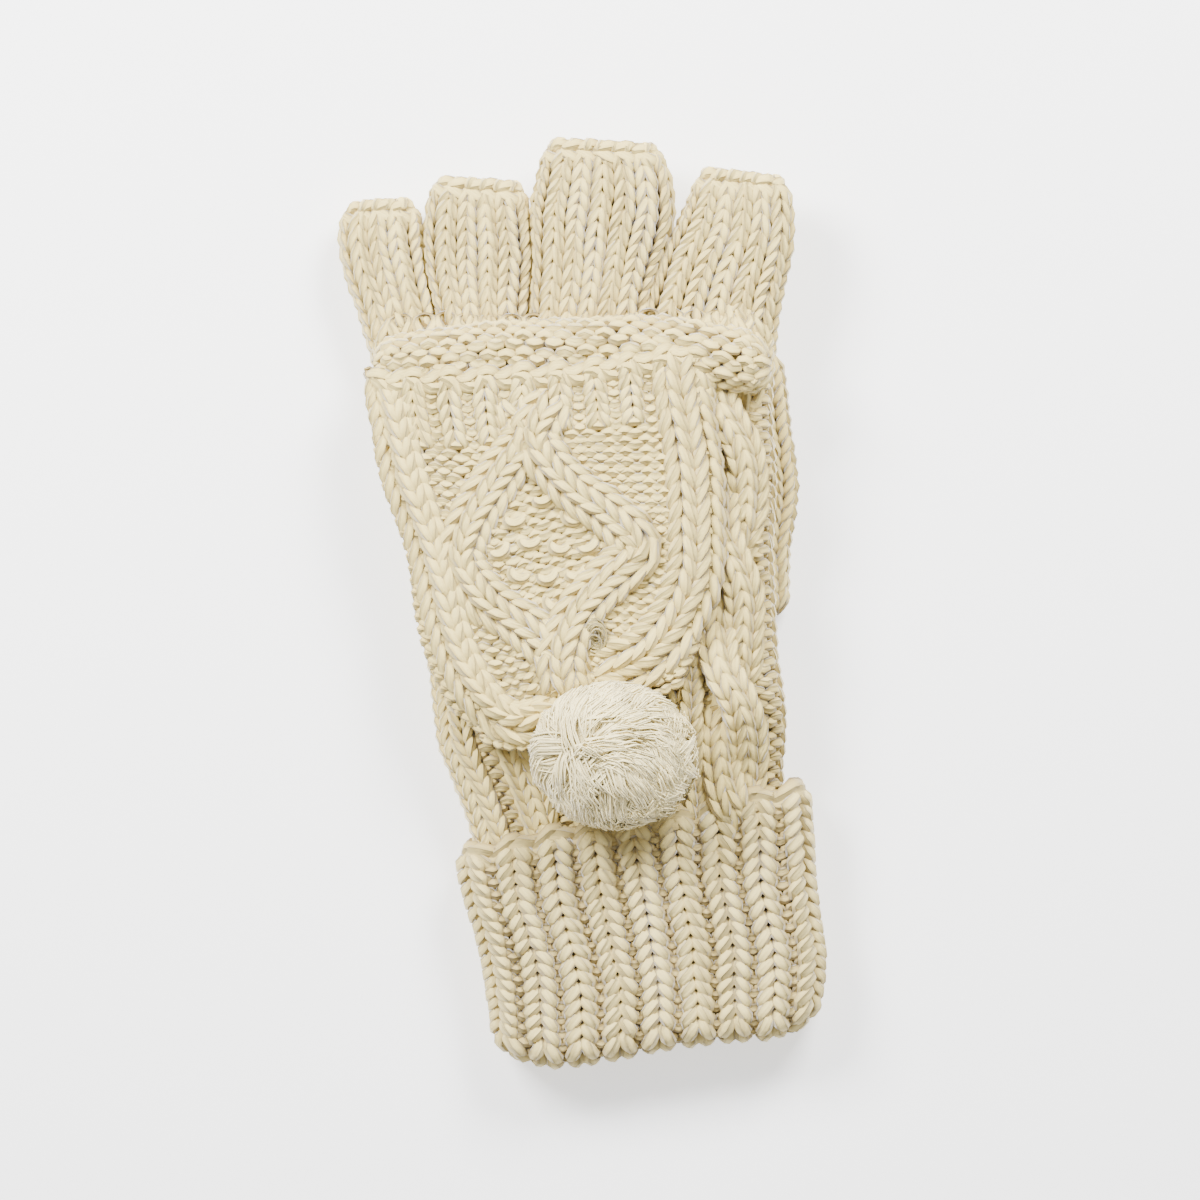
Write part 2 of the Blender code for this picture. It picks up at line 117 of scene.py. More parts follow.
class Pile:
    """Collects tubes and sheets, and turns them into one mesh.

    two_faced is for fabric that is seen from both sides.
    """

    def __init__(self, two_faced=False):
        self.verts, self.faces, self.uvs, self.levels, self.count = [], [], [], [], 0
        self.two_faced = two_faced

    def add(self, verts, faces, uvs, levels):
        self.verts.append(verts)
        self.levels.append(levels)
        self.faces.append(faces + self.count)
        self.uvs.append(uvs)
        self.count += len(verts)

    def split(self, y):
        """Two piles: the tubes and sheets that lie beyond y in the frame, and the rest."""
        far, near = Pile(), Pile()
        start = 0
        for verts, faces, uvs, levels in zip(self.verts, self.faces, self.uvs, self.levels):
            part = far if verts[:, 1].mean() > y else near
            part.add(verts, faces - start, uvs, levels)
            start += len(verts)
        return far, near

    def tube(self, points, ups, radius, sides=7, closed=False, flat=0.9, level=1.0):
        """Sweeps a round section along points. radius is one value per point, in metres.

        level is the height of each point above the fabric in millimetres. The material paints shade on low
        yarn by it.
        """
        n = len(points)
        if closed:
            along = np.roll(points, -1, 0) - np.roll(points, 1, 0)
        else:
            along = np.gradient(points, axis=0)
        along /= np.linalg.norm(along, axis=1)[:, None] + 1e-12
        side = np.cross(along, ups)
        side /= np.linalg.norm(side, axis=1)[:, None] + 1e-12
        up = np.cross(side, along)
        angle = np.arange(sides) * 2 * PI / sides
        across = np.cos(angle)[None, :, None] * side[:, None, :]
        ring = across + flat * np.sin(angle)[None, :, None] * up[:, None, :]
        verts = (points[:, None, :] + ring * radius[:, None, None]).reshape(-1, 3)
        height = np.broadcast_to(np.asarray(level, float), (n,))[:, None]
        swell = np.sin(angle)[None] * radius[:, None] * 1000
        # Painted shade: on two-faced fabric, yarn is shaded less the further it stands out on either face
        if self.two_faced:
            levels = (np.abs(height) + np.abs(swell)).ravel()
        else:
            levels = (height + swell).ravel()
        step = np.linalg.norm(np.diff(points, axis=0, append=points[:1]), axis=1)
        length = np.concatenate([[0], np.cumsum(step)]) * 1000
        m = n if closed else n - 1
        i = np.repeat(np.arange(m), sides)
        k = np.tile(np.arange(sides), m)
        i_next, k_next = (i + 1) % n, (k + 1) % sides
        corners = [i * sides + k, i * sides + k_next, i_next * sides + k_next, i_next * sides + k]
        faces = np.stack(corners, 1)
        u0, u1 = k / sides, (k + 1) / sides
        v0, v1 = length[i], length[i + 1]
        uvs = np.stack([u0, v0, u1, v0, u1, v1, u0, v1], 1).reshape(-1, 2)
        if not closed:
            for end, flip in ((0, True), (n - 1, False)):
                levels = np.append(levels, height[end])
                tip = points[end] + along[end] * radius[end] * (-0.6 if flip else 0.6)
                verts = np.vstack([verts, tip])
                a = end * sides + np.arange(sides)
                b = end * sides + (np.arange(sides) + 1) % sides
                centre = np.full(sides, len(verts) - 1)
                cap = np.stack([b, a, centre, centre], 1)
                if not flip:
                    cap = cap[:, [1, 0, 2, 3]]
                faces = np.vstack([faces, cap])
                uvs = np.vstack([uvs, np.tile([[0.0, length[end]]], (4 * sides, 1))])
        self.add(verts, faces, uvs, levels)

    def sheet(self, surface, a, b, e, closed=False, level=-1.5):
        """A backing sheet on a surface, over grids of a and b. It is seen between the yarns, and its dark
        colour is painted shade in the gaps; level sets how much more painted shade it gets.
        """
        aa, bb = np.meshgrid(a, b, indexing="ij")
        verts = surface(aa, bb, np.full(aa.shape, e)).reshape(-1, 3)
        na, nb = aa.shape
        i, j = np.meshgrid(np.arange(na if closed else na - 1), np.arange(nb - 1), indexing="ij")
        i, j = i.ravel(), j.ravel()
        ii = (i + 1) % na
        faces = np.stack([i * nb + j, ii * nb + j, ii * nb + j + 1, i * nb + j + 1], 1)
        # The mark gives the sheet the dark tone: painted shade between the yarns
        uvs = np.tile([[0.5, SHADE_SHEET_V]], (4 * len(faces), 1))
        self.add(verts, faces, uvs, np.full(len(verts), level))

    def build(self, name, material):
        """Makes the mesh. A face whose last two corners are the same becomes a triangle."""
        verts = np.vstack(self.verts)
        faces = np.vstack(self.faces)
        uvs = np.vstack(self.uvs)
        tri = faces[:, 2] == faces[:, 3]
        sizes = np.where(tri, 3, 4)
        keep = np.ones(faces.shape, bool)
        keep[tri, 3] = False
        loops = faces[keep]
        starts = np.concatenate([[0], np.cumsum(sizes)[:-1]])
        mesh = bpy.data.meshes.new(name)
        mesh.vertices.add(len(verts))
        mesh.vertices.foreach_set("co", verts.astype(np.float32).ravel())
        mesh.loops.add(len(loops))
        mesh.loops.foreach_set("vertex_index", loops.astype(np.int32))
        mesh.polygons.add(len(faces))
        mesh.polygons.foreach_set("loop_start", starts.astype(np.int32))
        mesh.polygons.foreach_set("loop_total", sizes.astype(np.int32))
        layer = mesh.uv_layers.new(name="yarn")
        layer.data.foreach_set("uv", uvs.reshape(-1, 4, 2)[keep].astype(np.float32).ravel())
        # The "level" map drives the painted shade on low yarn and on backing sheets
        levels = np.concatenate(self.levels)[loops]
        layer = mesh.uv_layers.new(name="level")
        layer.data.foreach_set("uv", np.stack([levels, levels], 1).astype(np.float32).ravel())
        mesh.update(calc_edges=True)
        mesh.validate()
        mesh.shade_smooth()
        mesh.materials.append(material)
        obj = bpy.data.objects.new(name, mesh)
        bpy.context.scene.collection.objects.link(obj)
        return obj


def attach(pile, name, body, *nodes, material=None, slot="knit_yarn"):
    """Builds a pile as a piece that rides on a body. nodes are the CAD nodes that it stands for."""
    obj = pile.build(name, material or KNIT)
    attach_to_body(obj, body)
    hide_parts(*nodes)
    return obj


def attach_bent(pile, name, bodies, start, end, *nodes, material=None):
    """Builds a pile as a piece, with its place baked into its mesh. bodies, start and end are not used."""
    obj = pile.build(name, material or KNIT)
    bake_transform(obj)
    if nodes:
        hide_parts(*nodes)


# ---------------------------------------------------------------- knitting

# Points on each loop, and the two kinds of stitch
SAMPLES = 16
K, P = 1, -1


def neighbours(values, closed):
    """The values of the wale before and the wale after each wale."""
    before, after = np.roll(values, 1), np.roll(values, -1)
    if not closed:
        before[0], after[-1] = values[0], values[-1]
    return before, after


def knit(pile, surface, widths, kinds, rows, first, last, up=1, start=0.0, closed=False,
         radius=1.36, depth=1.15, lean=0.275, reach=1.24, relief=(0.0, 0.0), thin=0.36, taper=3.6,
         purl=1.05, spread=0.025, jitter=1.0, sides=7):
    """Knits rows of interlocked loops onto a surface.

    surface(a, b, e) gives points from a across, b along and e above it. Each wale has a width in a's
    units. kinds holds K or P, per wale or per row and wale. up is +1 where the fabric grows towards
    larger b. relief is how far knit and purl wales stand out. lean and spread shape the loop's legs,
    thin and taper its ends, and purl its bar. jitter scales the unevenness.
    """
    widths = np.asarray(widths, float)
    n = len(widths)
    left = start + np.concatenate([[0], np.cumsum(widths)[:-1]])
    kinds = np.broadcast_to(np.asarray(kinds, float), (rows, n))
    pitch = (last - first) / max(rows, 1)
    t = np.arange(SAMPLES) * 2 * PI / SAMPLES
    half = np.minimum(t, 2 * PI - t)
    # How much a point belongs to the wale before or after, for stitch kind and for relief
    kind_before = np.clip(1 - t / (PI / 4), 0, 1)[None]
    kind_after = np.clip(1 - (2 * PI - t) / (PI / 4), 0, 1)[None]
    rise_before = np.clip(0.5 - t / (PI * 0.8), 0, 1)[None]
    rise_after = np.clip(0.5 - (2 * PI - t) / (PI * 0.8), 0, 1)[None]
    leg = thin + (1.12 - thin) * np.sin(half)[None] ** taper
    bar = purl * (0.34 + 0.7 * np.abs(np.cos(half))[None] ** 2.0)
    for r in range(rows):
        kind = kinds[r]
        before, after = neighbours(kind, closed)
        s = (kind[:, None] + (before - kind)[:, None] / 2 * kind_before
             + (after - kind)[:, None] / 2 * kind_after)
        sway = rng.normal(0, 0.035, (n, 1)) * jitter
        share = t / (2 * PI) + lean * np.sin(2 * t) - spread * np.sin(t) + sway * np.sin(t / 2)
        a = left[:, None] + widths[:, None] * share
        span = np.where(kind > 0, reach, 0.76)[:, None]
        b = first + (r + 0.5) * pitch - up * span * pitch * np.cos(t)[None]
        b = b + rng.normal(0, 0.045, (n, 1)) * pitch * jitter * np.sin(t / 2)
        rise = np.where(kind > 0, relief[0], relief[1])
        before, after = neighbours(rise, closed)
        lift = (rise[:, None] * (1 - rise_before - rise_after) + before[:, None] * rise_before
                + after[:, None] * rise_after)
        e = lift - s * depth * np.cos(2 * half)[None] + rng.normal(0, 0.08, (n, 1)) * jitter
        plump = np.where(kind[:, None] > 0, leg, bar)
        a, b, e = a.ravel(), np.broadcast_to(b, (n, SAMPLES)).ravel(), e.ravel()
        size = plump.ravel() * radius * (1 + rng.normal(0, 0.03))
        p = surface(a, b, e)
        pile.tube(p, surface(a, b, e + 0.4) - p, size * MM, sides=sides, closed=closed, level=e)


def overcast(pile, surface, count, first, last, edge, out, lift):
    """Short fat loops over an edge, which is at b = edge. out is how far they reach past it."""
    pitch = (last - first) / count
    s = np.linspace(0, 1, 8)
    for i in range(count):
        u = first + (i + 0.5) * pitch + (s - 0.5) * 0.5 * pitch + rng.normal(0, 0.05) * pitch
        b = edge + out * (np.sin(s * PI) - 0.35)
        e = lift * np.cos(s * PI) + rng.normal(0, 0.12)
        p = surface(u, b, e)
        size = (0.8 + 0.85 * np.sin(s * PI) ** 0.8) * rng.normal(1, 0.06)
        outer = surface(u, b + out * 0.3 * np.sin(s * PI), e + 0.3 * np.cos(s * PI))
        pile.tube(p, outer - p, size * MM, level=1.6)


def tube_outline(turn, width, height, pillow=0.0):
    """Place and outward normal on a flattened tube, a share of the way round from its left edge."""
    flat = np.maximum(width - height, 0.01)
    bend = PI * height
    s = np.mod(turn, 1.0) * (4 * flat + 2 * bend)
    # Lengths round the outline at which the top, the right bend, the underside and the left bend end
    top_end = bend / 2 + 2 * flat
    right_end = 1.5 * bend + 2 * flat
    low_end = 1.5 * bend + 4 * flat
    left_angle = s / height
    right_angle = (s - bend / 2 - 2 * flat) / height
    last_angle = (s - 1.5 * bend - 4 * flat) / height
    top = (s >= bend / 2) & (s < top_end)
    right = (s >= top_end) & (s < right_end)
    low = (s >= right_end) & (s < low_end)
    last = s >= low_end
    nx = np.select([top | low, right, last], [0.0, np.sin(right_angle), -np.sin(last_angle)],
                   -np.cos(left_angle))
    ny = np.select([top, low, right, last], [1.0, -1.0, np.cos(right_angle), -np.cos(last_angle)],
                   np.sin(left_angle))
    cx = np.select([top, low, right], [s - bend / 2 - flat, flat - (s - 1.5 * bend - 2 * flat), flat], -flat)
    x = cx + nx * height
    h = ny * height * (1 + pillow * (1 - (cx / flat) ** 2))
    return x, h, nx, ny


def strip_surface(points, height, crown=0.0, half_width=6.0, drop_ends=0.0):
    """A surface along a centre line in x and y, and the line's length. height(x, y, share) is its base."""
    dense = through(points, np.linspace(0, 1, 400))
    step = np.linalg.norm(np.diff(dense[:, :2], axis=0), axis=1)
    length = np.concatenate([[0], np.cumsum(step)])
    tangent = np.gradient(dense[:, :2], axis=0)
    tangent /= np.linalg.norm(tangent, axis=1)[:, None]

    def surface(a, b, e):
        cx, cy = np.interp(b, length, dense[:, 0]), np.interp(b, length, dense[:, 1])
        tx, ty = np.interp(b, length, tangent[:, 0]), np.interp(b, length, tangent[:, 1])
        over = np.where(b < 0, b, np.where(b > length[-1], b - length[-1], 0))
        x = cx + ty * a + tx * over
        y = cy - tx * a + ty * over
        share = np.clip(b / length[-1], 0, 1)
        h = height(x, y, share) + e - crown * np.abs(a / half_width) ** 2
        if drop_ends:
            h = h - drop_ends * (smooth(1 - b / 7) + smooth(1 - (length[-1] - b) / 7))
        return lie(x, y, h)

    return surface, length[-1]


def ring_surface(place, height):
    """A surface along a closed rim: place(turn) gives x, y, h and the outward normal in x and h."""

    def surface(a, b, e):
        x, y, h, nx, nh = place(b)
        return lie(x + nx * e, y + a * height, h + nh * e)

    return surface


# ---------------------------------------------------------------- materials


def yarn_material(name, light, dark, plies=4.0, twist=0.06, bump=0.9, low=-0.2, high=2.8):
    """Plied yarn, light on the plies and dark between them, the dark being painted shade in the grooves.

    The "yarn" map has the share round the yarn in u and the length along it, in millimetres, in v.
    Yarn that lies at low (in the "level" map's millimetres) gets the full painted shade, standing in for the
    shade in crevices, and yarn at high gets none.
    """
    mat = bpy.data.materials.new(name)
    mat.use_nodes = True
    nodes, links = mat.node_tree.nodes, mat.node_tree.links
    shader = nodes["Principled BSDF"]
    shader.inputs["Roughness"].default_value = 0.82
    shader.inputs["Specular IOR Level"].default_value = 0.25
    shader.inputs["Sheen Weight"].default_value = 0.4
    shader.inputs["Sheen Roughness"].default_value = 0.45
    uv = nodes.new("ShaderNodeUVMap")
    uv.uv_map = "yarn"
    split = nodes.new("ShaderNodeSeparateXYZ")
    links.new(uv.outputs["UV"], split.inputs[0])

    def maths(op, a, b=None):
        node = nodes.new("ShaderNodeMath")
        node.operation = op
        for i, value in enumerate((a, b)):
            if value is None:
                continue
            if isinstance(value, (int, float)):
                node.inputs[i].default_value = value
            else:
                links.new(value, node.inputs[i])
        return node.outputs[0]

    # Plies wind round the yarn
    around = maths("MULTIPLY", split.outputs[0], plies)
    phase = maths("ADD", around, maths("MULTIPLY", split.outputs[1], twist))
    ply = maths("ABSOLUTE", maths("SINE", maths("MULTIPLY", phase, PI)))
    ply = maths("POWER", ply, 0.6)
    # Fibres run along the plies, and blotches are fixed to the piece
    coords = nodes.new("ShaderNodeTexCoord")
    stretch = nodes.new("ShaderNodeMapping")
    stretch.inputs["Scale"].default_value = (3.6, 0.36, 1.0)
    shear = nodes.new("ShaderNodeCombineXYZ")
    links.new(phase, shear.inputs[0])
    links.new(split.outputs[1], shear.inputs[1])
    links.new(shear.outputs[0], stretch.inputs[0])
    fibre = nodes.new("ShaderNodeTexNoise")
    fibre.inputs["Scale"].default_value = 0.8
    fibre.inputs["Detail"].default_value = 4.0
    links.new(stretch.outputs[0], fibre.inputs["Vector"])
    blotch = nodes.new("ShaderNodeTexNoise")
    blotch.inputs["Scale"].default_value = 90.0
    blotch.inputs["Detail"].default_value = 3.0
    links.new(coords.outputs["Object"], blotch.inputs["Vector"])
    height = maths("ADD", maths("MULTIPLY", ply, 0.75), maths("MULTIPLY", fibre.outputs["Fac"], 0.5))
    relief = nodes.new("ShaderNodeBump")
    relief.inputs["Strength"].default_value = bump
    relief.inputs["Distance"].default_value = 0.0011
    links.new(height, relief.inputs["Height"])
    links.new(relief.outputs[0], shader.inputs["Normal"])
    # Darker between the plies is painted shade in the grooves; the fibre and blotch tone is the yarn's own
    tone_and_groove_shade = maths("ADD", maths("MULTIPLY", ply, 0.4), maths("MULTIPLY", fibre.outputs["Fac"], 0.85))
    tone_and_groove_shade = maths("ADD", tone_and_groove_shade, maths("MULTIPLY", blotch.outputs["Fac"], 0.3))
    ramp = nodes.new("ShaderNodeValToRGB")
    ramp.color_ramp.elements[0].position = 0.58
    ramp.color_ramp.elements[0].color = (*dark, 1)
    ramp.color_ramp.elements[1].position = 1.0
    ramp.color_ramp.elements[1].color = (*light, 1)
    links.new(tone_and_groove_shade, ramp.inputs[0])
    # Backing sheets take the dark tone alone, as painted shade between the yarns
    gap_shade = maths("LESS_THAN", split.outputs[1], -10.0)
    mix = nodes.new("ShaderNodeMix")
    mix.data_type = "RGBA"
    links.new(gap_shade, mix.inputs["Factor"])
    links.new(ramp.outputs[0], mix.inputs["A"])
    mix.inputs["B"].default_value = (*dark, 1)
    # Painted shade: low yarn is darker, standing in for the shade in the crevices between yarns
    level = nodes.new("ShaderNodeUVMap")
    level.uv_map = "level"
    depth = nodes.new("ShaderNodeSeparateXYZ")
    links.new(level.outputs["UV"], depth.inputs[0])
    reach = nodes.new("ShaderNodeMapRange")
    reach.interpolation_type = "SMOOTHSTEP"
    reach.inputs["From Min"].default_value = low
    reach.inputs["From Max"].default_value = high
    links.new(depth.outputs[0], reach.inputs["Value"])
    shade = nodes.new("ShaderNodeMix")
    shade.data_type = "RGBA"
    shade.inputs["A"].default_value = (0.46, 0.405, 0.335, 1)
    shade.inputs["B"].default_value = (1, 1, 1, 1)
    links.new(reach.outputs["Result"], shade.inputs["Factor"])
    both = nodes.new("ShaderNodeMix")
    both.data_type = "RGBA"
    both.blend_type = "MULTIPLY"
    both.inputs["Factor"].default_value = 1.0
    links.new(mix.outputs["Result"], both.inputs["A"])
    links.new(shade.outputs["Result"], both.inputs["B"])
    links.new(both.outputs["Result"], shader.inputs["Base Color"])
    return mat


KNIT = yarn_material("cream_yarn", (0.765, 0.615, 0.23), (0.58, 0.44, 0.145))
RIB = yarn_material("cream_rib_yarn", (0.745, 0.61, 0.255), (0.56, 0.44, 0.17), low=-0.3, high=4.7)
SEAM = yarn_material("seam_yarn", (0.74, 0.585, 0.21), (0.58, 0.42, 0.11))


# ---------------------------------------------------------------- hand

# Edges of the hand: (y, x)
HAND_LEFT = ((50, -42.0), (63, -44.7), (74, -47.5), (88, -50.8), (115, -50.6), (140, -52.0), (165, -54.5),
             (200, -56.0))
HAND_RIGHT = ((50, 41.0), (68, 41.8), (88, 43.8), (115, 44.9), (137, 46.8), (160, 49.0), (184, 51.5),
              (200, 53.0))
HAND_FIRST, HAND_LAST, HAND_ROWS = 54, 196, 38
BACK_WALES = (K, K, P, K, K, P, K, K, P, K, K, P, K, P, P, P, P, P)

# Rope cable on the thumb's side: its centre line, and how its two strands cross
ROPE_CENTRE = ((58, 27.5), (85, 29.5), (106, 32.2), (128, 34.6), (149, 37.1), (172, 39.5), (196, 41.0))
ROPE_START, ROPE_LENGTH, ROPE_CROSSING = 56, 140, 35


def rope_phase(y):
    return (y - 93) / ROPE_CROSSING * PI + PI / 2


def hand_slope(y):
    """How far the rows sink towards the thumb's side, per millimetre of x."""
    return smooth((y - 120) / 60) * -0.1


def hand_surface(turn, b, e):
    left, right = at(HAND_LEFT, b), at(HAND_RIGHT, b)
    half = 4.2 + 1.2 * smooth((b - TILT_START) / 26)
    x, h, nx, nh = tube_outline(turn, (right - left) / 2 - 2.3, half - 0.4, 0.12)
    x = x + (left + right) / 2 + nx * e
    return lie(x, b + hand_slope(b) * x, h + nh * e)


def make_hand():
    wales = len(BACK_WALES)
    widths = np.full(wales, 0.5 / wales)
    kinds = np.tile(BACK_WALES, (HAND_ROWS, 1))
    kinds[-4:] = K
    pile = Pile()
    knit(pile, hand_surface, widths, kinds, HAND_ROWS, HAND_FIRST, HAND_LAST, relief=(0.5, -0.5))
    pile.sheet(hand_surface, np.linspace(0, 0.5, 40), np.linspace(HAND_FIRST, HAND_LAST + 1, 40), -0.9)

    # The rope's two strands, each two wales wide
    for side in (-1, 1):
        ys = ROPE_START + np.linspace(0, 1, 60) * ROPE_LENGTH
        xs = at(ROPE_CENTRE, ys) + side * 4.3 * np.tanh(1.3 * np.cos(rope_phase(ys)))

        def height(x, y, share, side=side):
            swing = np.sin(rope_phase(ROPE_START + share * ROPE_LENGTH))
            fall = 0.02 * np.maximum(x - 38, 0) ** 2
            return 8.0 + side * 2.8 * swing - fall - 3.0 * smooth((y - 176) / 12)

        path = np.stack([xs, ys], 1)
        surface, length = strip_surface(path, height, crown=1.6, half_width=5.0, drop_ends=4.5)
        knit(pile, surface, [5.1, 5.1], [K, K], 31, 0, length, start=-5.1, radius=1.45)

    # A single wale between the rope and the flap
    ys = np.linspace(60, 182, 40)
    path = np.stack([at(ROPE_CENTRE, ys) - 11.0, ys], 1)
    surface, length = strip_surface(path, lambda x, y, share: 7.0 + 0 * x)
    knit(pile, surface, [5.4], [K], 33, 0, length, start=-2.7)

    # Filling between the little and ring fingers
    path = ((-39.8, 190), (-39.3, 196), (-38.9, 202))
    surface, length = strip_surface(path, lambda x, y, share: 3.0 - 1.0 * share)
    knit(pile, surface, [5.6], [K], 5, 0, length, start=-2.8)
    attach(pile, "hand_back", "hand", "hand_back_panel")

    pile = Pile()
    knit(pile, hand_surface, widths, np.full(wales, K), HAND_ROWS, HAND_FIRST, HAND_LAST, start=0.5)
    pile.sheet(hand_surface, np.linspace(0.5, 1.0, 40), np.linspace(HAND_FIRST, HAND_LAST + 1, 40), -0.9)
    attach(pile, "hand_palm", "hand", "hand_palm_panel")


# ---------------------------------------------------------------- cuff

# Edges of the cuff's outer layer: (y, x)
CUFF_LEFT = ((-6, -43.5), (3, -45.4), (18, -45.2), (33, -46.2), (48, -48.0), (58, -48.6), (66, -47.6))
CUFF_RIGHT = ((-6, 42.5), (3, 44.5), (14, 46.4), (23, 47.2), (40, 47.4), (58, 48.4), (66, 47.6))
CUFF_RIBS = 18
FOLD_RADIUS, FOLD_START = 3.6, 6.0


def cuff_surface(turn, b, e):
    """Outer layer, with b running from inside the fold, round it and up to the top edge."""
    under = np.clip((FOLD_START - b) / FOLD_RADIUS, 0, PI)
    tuck = FOLD_RADIUS * (1 - np.cos(under))
    y = np.where(b < FOLD_START, FOLD_START - FOLD_RADIUS * np.sin(under), b)
    inside = FOLD_START - PI * FOLD_RADIUS
    y = y + np.where(b < inside, inside - b, 0)
    y = y - 1.6
    left, right = at(CUFF_LEFT, y), at(CUFF_RIGHT, y)
    grow = (e * np.cos(under)) - tuck
    x, h, nx, nh = tube_outline(turn, (right - left) / 2 - 2.5, 7.1, 0.03)
    x = x + nx * grow + (left + right) / 2
    # The fold is rounded at its corners, and sags beside the left one
    corner = 4.2 * smooth((np.abs(x) - 27) / 20)
    sag = (corner - 1.6 * np.exp(-(((x + 28) / 16) ** 2))) * smooth((30 - y) / 30)
    y = y - e * np.sin(under) + 0.07 * x * smooth(y / 55) + sag
    return lie(x, y, h + nh * grow)


def cuff_rim(turn):
    """The top edge of the outer layer, with an arch over each rib."""
    turn = np.mod(turn, 1.0)
    y = np.full(np.shape(turn), 60.0)
    left, right = at(CUFF_LEFT, y), at(CUFF_RIGHT, y)
    x, h, nx, nh = tube_outline(turn, (right - left) / 2 - 3.0, 7.4, 0.03)
    arch = np.cos(2 * PI * (CUFF_RIBS * (turn - 0.01) - 0.31))
    return x + (left + right) / 2 + nx * arch, y + 0.07 * x + 1.2 * arch, h + nh * arch, nx, nh


def cuff_inner(turn, b, e):
    left = at(((0, -38.3), (25, -39.2), (60, -41.2)), b)
    right = at(((0, 39.0), (25, 41.0), (60, 42.0)), b)
    x, h, nx, nh = tube_outline(turn, (right - left) / 2 - 1.8, 3.0)
    return lie(x + (left + right) / 2 + nx * e, b, h + nh * e)


def cuff_sleeve(turn, b, e):
    """Between the two layers. It closes the gap that opens when the outer layer is turned down."""
    left, right = at(CUFF_LEFT, b), at(CUFF_RIGHT, b)
    share = (b - 2.0) / 54.0
    x, h, nx, nh = tube_outline(turn, (right - left) / 2 - 7.5 + 2.2 * share, 3.6 + 1.6 * share)
    return lie(x + (left + right) / 2 + nx * e, b, h + nh * e)


def make_cuff():
    widths = np.tile([0.62, 0.38], CUFF_RIBS) / CUFF_RIBS
    kinds = np.tile([K, P], CUFF_RIBS)
    around = np.linspace(0, 1, 120, endpoint=False)
    pile = Pile()
    knit(pile, cuff_surface, widths, kinds, 18, -5, 61.0, up=-1, closed=True, radius=1.72, depth=1.0,
         lean=0.3, reach=0.84, relief=(1.0, -0.5), thin=0.48, taper=1.5, purl=0.78, spread=0.085,
         start=0.01)
    pile.sheet(cuff_surface, around, np.linspace(-5, 61, 30), -1.9, closed=True, level=-0.9)
    knit(pile, ring_surface(cuff_rim, 1.0), [4.6], [K], 36, 0.0, 1.0, start=-3.2, radius=1.85, depth=0.6,
         reach=0.9, thin=0.8, taper=1.3, jitter=1.4)
    attach(pile, "cuff_turnback", "cuff_turnback", "cuff_turnback_rib", material=RIB)

    around = np.linspace(0, 1, 100, endpoint=False)
    pile = Pile()
    knit(pile, cuff_inner, widths, kinds, 15, 1, 57, closed=True, radius=1.1, depth=0.4, reach=0.95,
         relief=(0.4, -0.4), sides=6)
    pile.sheet(cuff_inner, around, np.linspace(1, 57, 12), -0.6, closed=True)
    attach(pile, "cuff_inner", "hand", "cuff_inner_rib")

    pile = Pile()
    b = np.linspace(2, 56, 16)
    for turn in np.linspace(0, 1, 72, endpoint=False):
        p = cuff_sleeve(turn, b, 0.0)
        pile.tube(p, cuff_sleeve(turn, b, 0.5) - p, np.full(len(b), 1.1 * MM), sides=6, level=0.6)
    pile.sheet(cuff_sleeve, around, b, -0.5, closed=True)
    attach_bent(pile, "cuff_sleeve", ("hand", "cuff_turnback"), point(0, 2, 0), point(0, 56, 0), material=RIB)


# ---------------------------------------------------------------- fingers and thumb

# Centre line from root to tip, half widths along it, half height, lift and number of wales
FINGERS = {
    "little_finger": (((-47.0, 192.0), (-49.2, 207.0), (-51.0, 221.0), (-50.4, 232.6)),
                      (9.6, 10.9, 12.2, 11.4), 5.6, -0.9, 9),
    "ring_finger": (((-25.4, 192.0), (-25.3, 209.0), (-24.6, 224.0), (-22.4, 235.6)),
                    (12.2, 14.2, 15.5, 14.0), 5.8, -0.2, 11),
    "middle_finger": (((1.5, 190.0), (5.4, 209.0), (10.2, 227.0), (12.2, 241.4)),
                      (15.4, 17.8, 19.6, 17.4), 6.0, 0.9, 13),
    "index_finger": (((33.6, 187.0), (39.4, 203.0), (45.2, 217.0), (48.4, 228.6)),
                     (19.6, 18.4, 16.6, 14.0), 5.8, -0.6, 12),
}
FINGER_PITCH = 4.0

THUMB_WALES, THUMB_PITCH, THUMB_RISE = 13, 3.7, 5.1
THUMB_PIVOT, THUMB_LEAN = (36.0, 128.5), math.radians(2.5)


def finger_surface(centres, halves, height, lift):
    """A tube along a centre line that draws in at its open end, and the line's length."""
    dense = through(centres, np.linspace(0, 1, 200))
    step = np.linalg.norm(np.diff(dense, axis=0), axis=1)
    length = np.concatenate([[0], np.cumsum(step)])
    tangent = np.gradient(dense, axis=0)
    tangent /= np.linalg.norm(tangent, axis=1)[:, None]
    total = length[-1]

    def surface(turn, b, e):
        width = through(halves, np.clip(b / total, 0, 1))[..., 0]
        near = np.clip((b - total + 6) / 6, 0, 1)
        width = width - 2.3 - 2.6 * (1 - np.sqrt(1 - 0.98 * near**2))
        x, h, nx, nh = tube_outline(turn, width, (height - 2.0) * (1 - 0.15 * near), 0.14)
        x, h = x + nx * e, h + nh * e
        cx, cy = np.interp(b, length, dense[:, 0]), np.interp(b, length, dense[:, 1])
        tx, ty = np.interp(b, length, tangent[:, 0]), np.interp(b, length, tangent[:, 1])
        over = np.where(b > total, b - total, np.where(b < 0, b, 0))
        return lie(cx + ty * x + tx * over, cy - tx * x + ty * over, h + lift)

    return surface, total


def finger_rim(surface, total):
    """A band round a finger's open end: a runs past the end, and b runs round it."""
    return lambda a, b, e: surface(b, total + 0.4 + a, e)


